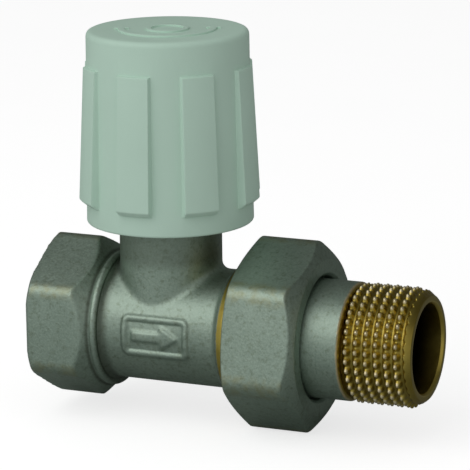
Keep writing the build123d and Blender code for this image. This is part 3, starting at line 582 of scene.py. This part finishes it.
def union_nut():
    """Hexagon nut with turned bevels and a full-form thread inside."""
    sharp_corner_r = NUT_FLAT_R / math.cos(math.pi / 6)
    lip_x = NUT_END_X - NUT_LIP
    crest_r = UNION_MINOR_R + CREST_GAP
    root_r = UNION_MAJOR_R + CREST_GAP

    def at_ends(x, radius):
        mouth_r = root_r - 0.1 + (NUT_START_X + 0.4 - x)
        return max(radius, min(mouth_r, root_r + 0.2), root_r * ease((x - lip_x + 1.6) / 0.8))

    def outline(angle):
        hexagon = hexagon_radius(angle, NUT_FLAT_R, NUT_CORNER_FILLET, NUT_TURNED)
        inner = NUT_INNER_BEVEL * (hexagon - NUT_INNER_FACE_R) / (sharp_corner_r - NUT_INNER_FACE_R)
        outer = NUT_OUTER_BEVEL * (hexagon - NUT_OUTER_FACE_R) / (sharp_corner_r - NUT_OUTER_FACE_R)
        outside = [
            (NUT_START_X, root_r + 0.25, 0.12),
            (NUT_START_X, NUT_INNER_FACE_R, 0.2),
            (NUT_START_X + inner, hexagon, 0.4),
            (NUT_END_X - outer, hexagon, 0.5),
            (NUT_END_X, NUT_OUTER_FACE_R, 0.5),
            (NUT_END_X, NUT_HOLE_R + 0.5, 0.15),
            (NUT_END_X - 0.5, NUT_HOLE_R, 0.15),
            (lip_x, NUT_HOLE_R, 0.1),
            (lip_x, root_r, 0.1),
        ]
        start, end = NUT_START_X + 0.25, lip_x - 0.3
        inside = thread_points(angle, start, end, UNION_PITCH, root_r, crest_r, at_ends)
        return rounded(outside, closed=True) + inside[::-1]

    made = swept_mesh("union_nut_hexagon", outline, even_angles(360), about_pipe)
    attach(made, "nut")
    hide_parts("union_nut")
    made.data.materials.append(plated_nut())


# ================================================================ tail
TAIL_COLLAR_LENGTH = 2.8
TAIL_SHANK_LENGTH = 8.86
TAIL_SHANK_R = PIPE_MAJOR_R - 0.08
TAIL_RELIEF = 0.7
TAIL_RELIEF_R = PIPE_MAJOR_R - 0.5
FIRST_CREST = 0.9
TAIL_END_BEVEL = 1.28
TAIL_END_LEAD = 1.8
TAIL_KEY_AF = 13.0
TAIL_KEY_DEPTH = 8.5
RING_SECTION = 0.84
SERRATIONS = 36
NOTCH_SHARE = 0.6


def pearl_height(angle):
    """Share of the thread's height that the serrating roller left: pearls with a notch between them."""
    share = (angle * SERRATIONS / TURN) % 1
    off_middle = abs(share - 0.5) * 2
    return 1 - NOTCH_SHARE * ease((off_middle - 0.12) / 0.8)


def tail():
    """Tail with a collar, a plain shank and a thread whose crests are serrated to grip hemp."""
    shank_x = TAIL_START_X + TAIL_COLLAR_LENGTH
    thread_x = shank_x + TAIL_SHANK_LENGTH + TAIL_RELIEF
    key_end_x = TAIL_START_X + TAIL_KEY_DEPTH
    ring_low, ring_high = [span("tail_o_ring", 1)[1] - 0.8 + side * RING_SECTION for side in (-1, 1)]

    def cut_back(angle):
        kept = pearl_height(angle)

        def trim(x, radius):
            lead_in = TAIL_RELIEF_R + (x - thread_x) * 0.8
            lead_out = PIPE_MAJOR_R - TAIL_END_BEVEL * (x - TAIL_END_X + TAIL_END_LEAD) / TAIL_END_LEAD
            pearl_r = PIPE_MINOR_R + (radius - PIPE_MINOR_R) * kept
            return min(pearl_r, lead_in, lead_out - 0.02)
        return trim

    def outline(angle):
        key_r = hexagon_radius(angle, TAIL_KEY_AF / 2, 0.15)
        before = [
            (TAIL_START_X, key_r + 0.25, 0.1),
            (TAIL_START_X, ring_low, 0.08),
            (TAIL_START_X + 1.6, ring_low, 0.1),
            (TAIL_START_X + 1.6, ring_high, 0.1),
            (TAIL_START_X, ring_high, 0.08),
            (TAIL_START_X, TAIL_COLLAR_R - 0.3, 0.1),
            (TAIL_START_X + 0.3, TAIL_COLLAR_R, 0.1),
            (shank_x, TAIL_COLLAR_R, 0.15),
            (shank_x, TAIL_SHANK_R, 0.2),
            (thread_x - TAIL_RELIEF, TAIL_SHANK_R, 0.2),
            (thread_x - TAIL_RELIEF + 0.25, TAIL_RELIEF_R, 0.15),
        ]
        thread = thread_points(
            angle, thread_x, TAIL_END_X - 0.25, PIPE_PITCH, PIPE_MINOR_R, PIPE_MAJOR_R, cut_back(angle),
            crest_share=0.10, shift=FIRST_CREST,
        )
        after = [
            (TAIL_END_X, PIPE_MAJOR_R - TAIL_END_BEVEL - 0.05, 0.25),
            (TAIL_END_X, TAIL_BORE_R + 0.3, 0.25),
            (TAIL_END_X - 0.5, TAIL_BORE_R, 0.25),
            (key_end_x + 0.9, TAIL_BORE_R, 0.3),
            (key_end_x, key_r, 0.2),
            (TAIL_START_X + 0.25, key_r, 0.1),
        ]
        return rounded([(*p, 0) for p in thread] + after + before, closed=True)

    made = swept_mesh("tail_threaded", outline, even_angles(SERRATIONS * 12), about_pipe)
    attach(made, "tail")
    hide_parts("tailpiece")
    made.data.materials.append(plated_tail(thread_x - TAIL_RELIEF))


# ================================================================ threads on the casting
def thread_ring(name, outline, material):
    """A ring of thread that stands on the casting's plain wall and is sunk a little into it."""
    made = swept_mesh(name, outline, even_angles(288), about_pipe)
    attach(made, "valve")
    made.data.materials.append(material)


def union_male_thread(material):
    """The casting's G 3/4 thread, which shows once the nut is undone."""
    start, end = UNION_THREAD_X, UNION_THREAD_END_X
    core_r = UNION_MINOR_R - 0.25

    def at_ends(x, radius):
        lead_in = UNION_MINOR_R - 0.1 + (x - start) * 1.3
        lead_out = UNION_MINOR_R - 0.1 + (end - x) * 1.3
        return max(min(radius, lead_in, lead_out), UNION_MINOR_R - 0.1)

    def outline(angle):
        thread = thread_points(
            angle, start, end, UNION_PITCH, UNION_MINOR_R + 0.02, UNION_MAJOR_R - CREST_GAP, at_ends
        )
        return thread + [(end, core_r), (start, core_r)]

    thread_ring("union_male_thread", outline, material)


def inlet_female_thread(material):
    """The inlet's G 1/2 thread."""
    start, end = INLET_THREAD_X, INLET_THREAD_END_X
    wall_r = PIPE_BORE_R + 0.25

    def at_ends(x, radius):
        lead_in = PIPE_BORE_R - (x - start) * 1.2
        return min(max(radius, lead_in, PIPE_BORE_R - (end - x) * 1.2), PIPE_BORE_R + 0.05)

    def outline(angle):
        thread = thread_points(
            angle, start, end, PIPE_PITCH, PIPE_BORE_R + 0.02, PIPE_MINOR_R + 0.06, at_ends
        )
        return thread + [(end, wall_r), (start, wall_r)]

    thread_ring("inlet_female_thread", outline, material)


# ================================================================ shield cap
CAP_TOP_Z = DIAL_TOP_Z - 0.3
CAP_ROOF = 2.1
CAP_RIM_HEIGHT = 3.6
CAP_BAND_HEIGHT = 5.9
CAP_BORE_R = SLEEVE_R + 0.06
CAP_HOLLOW_R = CAP_BORE_R - 0.5
CAP_RIM_R = RIB_FOOT_R - 1.4
CAP_BAND_R = CAP_RIM_R - 0.45
CAP_EDGE_R = 1.1
RIB_COUNT = 8
RIB_WIDTH = math.radians(23.5)
RIB_TOP_RISE = 0.67
RIB_CHAMFER = 0.9
RIB_SIDE = math.radians(1.7)
DIAL_RISE = 0.3
DIAL_RING_R = 8.0
DIAL_RING_WIDTH = 1.2
DIAL_DISC_R = 3.8
DIAL_DISC_LINE = 1.0
DIAL_HEAD = 2.6
DIAL_FACING = math.radians(-67.5)


def rib_height(angle):
    """1 on a rib and 0 between ribs, with a drafted side from one to the other."""
    pitch = TURN / RIB_COUNT
    off_rib = abs((angle + pitch / 2) % pitch - pitch / 2)
    return ease((RIB_WIDTH / 2 + RIB_SIDE / 2 - off_rib) / RIB_SIDE)


def rib_angles():
    """Angles round the cap, close together where a rib's side is."""
    pitch = TURN / RIB_COUNT
    side_low, side_high = RIB_WIDTH / 2 - RIB_SIDE, RIB_WIDTH / 2 + RIB_SIDE
    half = [side_low * k / 8 for k in range(8)]
    half += [side_low + (side_high - side_low) * k / 14 for k in range(14)]
    half += [side_high + (pitch / 2 - side_high) * k / 6 for k in range(6)]
    one_rib = half + [pitch - a for a in [pitch / 2, *half[:0:-1]]]
    return [rib * pitch + a for rib in range(RIB_COUNT) for a in one_rib] + [TURN]


def cap():
    """Shield cap: drafted shell, eight ribs with soft edges, and a raised dial on the top."""
    rim_top = CAP_FOOT_Z + CAP_RIM_HEIGHT
    rib_top = CAP_TOP_Z - CAP_BAND_HEIGHT
    ceiling = CAP_TOP_Z - CAP_ROOF
    snap_low, snap_high = SNAP_LOW_Z - 0.04, SNAP_HIGH_Z + 0.04
    snap_r = CAP_BORE_R + 0.75
    step_z = SLEEVE_TOP_Z + 0.1

    def shell_r(z):
        return CAP_RIM_R + (CAP_BAND_R - CAP_RIM_R) * (z - CAP_FOOT_Z) / (rib_top - CAP_FOOT_Z)

    def outline(angle):
        rib = rib_height(angle)
        foot_z = rim_top + RIB_CHAMFER
        corners = [
            (0, ceiling, 0),
            (CAP_HOLLOW_R, ceiling, 0.8),
            (CAP_HOLLOW_R, step_z, 0.1),
            (CAP_BORE_R, step_z, 0.1),
            (CAP_BORE_R, snap_high, 0.05),
            (snap_r, snap_high, 0.05),
            (snap_r, snap_low, 0.05),
            (CAP_BORE_R, snap_low, 0.05),
            (CAP_BORE_R, CAP_FOOT_Z, 0.3),
            (CAP_RIM_R, CAP_FOOT_Z, 0.45),
            (shell_r(rim_top), rim_top, 0.12),
            (shell_r(rim_top) + rib * (RIB_FOOT_R - RIB_CHAMFER - CAP_RIM_R), rim_top + 0.1 * rib, 0.25),
            (shell_r(foot_z) + rib * (RIB_FOOT_R - shell_r(foot_z)), foot_z, 0.5),
            (CAP_BAND_R + rib * RIB_TOP_RISE, rib_top - 0.12 * rib, 0.22),
            (CAP_BAND_R, rib_top, 0.12),
            (CAP_BAND_R - 0.05, CAP_TOP_Z, CAP_EDGE_R),
            (DIAL_RING_R + 2, CAP_TOP_Z, 0),
            (0, CAP_TOP_Z, 0),
        ]
        return rounded(corners, steps=5)

    made = swept_mesh("cap_shell_ribbed", outline, rib_angles(), about_neck, closed=False)
    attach(made, "cap")
    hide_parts("cap_shell")
    made.data.materials.append(CAP_PLASTIC)


def raised_outline(name, loops, foot, top, edge):
    """Flat raised mark with rounded edges, from closed loops of (x, y) about the neck axis."""
    curve = bpy.data.curves.new(name, "CURVE")
    curve.dimensions = "2D"
    curve.fill_mode = "BOTH"
    for loop in loops:
        spline = curve.splines.new("POLY")
        spline.points.add(len(loop) - 1)
        for point, (x, y) in zip(spline.points, loop):
            point.co = (x * MM, y * MM, 0, 1)
        spline.use_cyclic_u = True
    curve.extrude = (top - foot - edge) / 2 * MM
    curve.bevel_depth = edge / 2 * MM
    curve.bevel_resolution = 2
    curve.offset = -edge / 2 * MM
    holder = bpy.data.objects.new(name + "_curve", curve)
    bpy.context.scene.collection.objects.link(holder)
    graph = bpy.context.evaluated_depsgraph_get()
    data = bpy.data.meshes.new_from_object(holder.evaluated_get(graph))
    bpy.data.objects.remove(holder)
    data.transform(Matrix.Translation((NECK_X * MM, 0, (foot + top) / 2 * MM)))
    mesh = bmesh.new()
    mesh.from_mesh(data)
    bpy.data.meshes.remove(data)
    bmesh.ops.remove_doubles(mesh, verts=mesh.verts, dist=0.002 * MM)
    bmesh.ops.recalc_face_normals(mesh, faces=mesh.faces)
    return new_object(name, mesh)


def polar(radius, angle):
    return (radius * math.cos(angle), radius * math.sin(angle))


def dial_marks():
    """Centre ring and a double-ended turning arrow, proud of the cap's top."""
    foot, top = CAP_TOP_Z - 0.25, CAP_TOP_Z + DIAL_RISE
    ring_sides = (DIAL_DISC_R, DIAL_DISC_R - DIAL_DISC_LINE)
    ring = [[polar(r, TURN * k / 72) for k in range(72)] for r in ring_sides]
    outer, inner = DIAL_RING_R + DIAL_RING_WIDTH / 2, DIAL_RING_R - DIAL_RING_WIDTH / 2
    first, final = DIAL_FACING - TURN / 4, DIAL_FACING + TURN / 4
    sweep = [first + (final - first) * k / 48 for k in range(49)]
    past = DIAL_HEAD / DIAL_RING_R
    arrow = [polar(outer, a) for a in sweep]
    arrow += [polar(DIAL_RING_R + DIAL_HEAD / 2, final), polar(DIAL_RING_R, final + past)]
    arrow += [polar(DIAL_RING_R - DIAL_HEAD / 2, final)]
    arrow += [polar(inner, a) for a in sweep[::-1]]
    arrow += [polar(DIAL_RING_R - DIAL_HEAD / 2, first), polar(DIAL_RING_R, first - past)]
    arrow += [polar(DIAL_RING_R + DIAL_HEAD / 2, first)]
    for name, loops in (("cap_dial_ring", ring), ("cap_dial_arrow", [arrow])):
        made = raised_outline(name, loops, foot, top, 0.14)
        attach(made, "cap")
        made.data.materials.append(CAP_PLASTIC)


# ================================================================ camera, light and floor
VIEW_AZIMUTH = math.radians(23.44)
VIEW_ELEVATION = math.radians(13.73)
VIEW_ROLL = math.radians(0.71)
VIEW_DISTANCE = 530.0
VIEW_RIGHT = 11.1
VIEW_UP = 15.5
FOCAL_LENGTH = 228.64
SENSOR = 36.0


def camera():
    """Camera at the valve's three-quarter view, level with the cap and slightly above the pipe."""
    forward = Vector((
        -math.sin(VIEW_AZIMUTH) * math.cos(VIEW_ELEVATION),
        math.cos(VIEW_AZIMUTH) * math.cos(VIEW_ELEVATION),
        -math.sin(VIEW_ELEVATION),
    ))
    level = Vector((math.cos(VIEW_AZIMUTH), math.sin(VIEW_AZIMUTH), 0))
    down = forward.cross(level)
    right = math.cos(VIEW_ROLL) * level + math.sin(VIEW_ROLL) * down
    up = math.sin(VIEW_ROLL) * level - math.cos(VIEW_ROLL) * down
    aim = Vector((NECK_X, 0, 0)) + VIEW_RIGHT * right + VIEW_UP * up
    place = (aim - VIEW_DISTANCE * forward) * MM
    data = bpy.data.cameras.new("camera")
    data.lens, data.sensor_width = FOCAL_LENGTH, SENSOR
    data.clip_start, data.clip_end = 0.01, 20
    made = bpy.data.objects.new("camera", data)
    turn = Matrix((right, up, -forward)).transposed()
    made.matrix_world = Matrix.Translation(place) @ turn.to_4x4()
    bpy.context.scene.collection.objects.link(made)
    bpy.context.scene.camera = made


def softbox(name, azimuth, elevation, distance, width, height, watts):
    """Rectangular light that faces the valve. Azimuth 0 is in front, and positive is to the right."""
    azimuth, elevation = math.radians(azimuth), math.radians(elevation)
    back = Vector((
        math.sin(azimuth) * math.cos(elevation),
        -math.cos(azimuth) * math.cos(elevation),
        math.sin(elevation),
    ))
    data = bpy.data.lights.new(name, "AREA")
    data.shape = "RECTANGLE"
    data.size, data.size_y = width, height
    data.energy = watts
    made = bpy.data.objects.new(name, data)
    made.location = Vector((0.035, 0, 0.01)) + back * distance
    made.rotation_mode = "QUATERNION"
    made.rotation_quaternion = back.to_track_quat("Z", "Y")
    bpy.context.scene.collection.objects.link(made)


def floor_material():
    """Plain pale floor that stays near white in view and gives the metal a quieter reflection: for glossy
    rays it carries painted shade, darker under and behind the valve than in front.
    """
    finish = Finish(bpy.data.materials.new("pale_floor"))
    near = 1 - finish.axes()[1].between(-90, 0)
    cloud = finish.noise(60.0, detail=2.0)
    seen = finish.node("ShaderNodeLightPath", {}, {}, output="Is Camera Ray")
    white = finish.blend(cloud, (0.50, 0.50, 0.50, 1), (0.53, 0.53, 0.53, 1))
    pale = finish.node("ShaderNodeBsdfDiffuse", {}, {"Color": white})
    glow = finish.node("ShaderNodeEmission", {}, {"Color": (1, 1, 1, 1), "Strength": 0.72})
    bright = finish.node("ShaderNodeAddShader", {}, [pale, glow])
    mirrored = finish.node("ShaderNodeLightPath", {}, {}, output="Is Glossy Ray")
    # painted shade on the floor for glossy rays: dark under and behind the valve, pale in front
    reflected_floor_shade = finish.blend(near, (0.28, 0.30, 0.285, 1), (0.70, 0.75, 0.74, 1))
    bounced = finish.blend(mirrored, (0.60, 0.60, 0.60, 1), reflected_floor_shade)
    quiet = finish.node("ShaderNodeBsdfDiffuse", {}, {"Color": bounced})
    shader = finish.node("ShaderNodeMixShader", {}, [seen, quiet, bright])
    finish.node("ShaderNodeOutputMaterial", {}, {"Surface": shader})
    return finish.owner


def floor():
    """Wide sheet just under the nut's lowest corner."""
    mesh = bmesh.new()
    bmesh.ops.create_grid(mesh, x_segments=8, y_segments=8, size=3)
    made = new_object("floor", mesh)
    made.location.z = CAD_BOX[0].z - 0.0004
    made.data.materials.append(floor_material())


def room():
    """Grey room: pale in front, dim overhead and behind, and lighter for diffuse rays."""
    finish = Finish(bpy.data.worlds.new("room"), "Generated", 1)
    x, y = finish.axes()[:2]
    front = (x * -0.37 + y * -0.93).between(-0.5, 1.0)
    dim = finish.blend(front, (0.10, 0.105, 0.10, 1), (0.42, 0.43, 0.42, 1))
    lit = finish.blend(front, (0.36, 0.36, 0.36, 1), (0.50, 0.50, 0.50, 1))
    diffuse = finish.node("ShaderNodeLightPath", {}, {}, output="Is Diffuse Ray")
    around = finish.node("ShaderNodeBackground", {}, {"Color": finish.blend(diffuse, dim, lit)})
    finish.node("ShaderNodeOutputWorld", {}, {"Surface": around})
    return finish.owner


# ================================================================ make everything
bpy.context.scene.view_settings.view_transform = "Standard"
CAP_PLASTIC = moulded("shield_cap_plastic", rgb(190, 219, 202), rgb(200, 230, 213), 0.42)
BRASS = turned_brass("turned_brass")

camera()
floor()
bpy.context.scene.world = room()
softbox("key", -27, 40, 0.60, 0.62, 0.52, 1.25)
softbox("fill", 62, 12, 0.60, 0.50, 0.50, 0.20)

NODE_FINISH = {
    "headwork": BRASS,
    "gland_nut": BRASS,
    "gland_washer": BRASS,
    "gland_follower": BRASS,
    "jumper": BRASS,
    "spindle": turned_brass("spindle_brass", rgb(206, 176, 100)),
    "headwork_washer": bright_metal("soft_copper", rgb(150, 88, 62), rgb(196, 128, 96)),
    "thrust_washer": bright_metal("spring_steel", rgb(128, 130, 132), rgb(176, 178, 180)),
    "gland_packing": packing_cord(),
    "cap_sleeve": moulded("sleeve_nylon", rgb(206, 202, 186), rgb(222, 219, 206), 0.45),
    "gland_o_ring": rubber(),
}
NODE_FINISH["jumper_clip"] = NODE_FINISH["thrust_washer"]
NODE_FINISH["washer_screw"] = NODE_FINISH["thrust_washer"]
NODE_FINISH["cap_snap_ring"] = NODE_FINISH["thrust_washer"]
for seal in ("seat_washer", "cap_grip_ring", "tail_o_ring"):
    NODE_FINISH[seal] = NODE_FINISH["gland_o_ring"]
for node, material in NODE_FINISH.items():
    data = frame["nodes"][node].data
    data.materials.clear()
    data.materials.append(material)

CAST_NICKEL = plated_body()
casting(CAST_NICKEL)
collar_bead(CAST_NICKEL)
union_nut()
tail()
union_male_thread(BRASS)
inlet_female_thread(BRASS)
cap()
dial_marks()
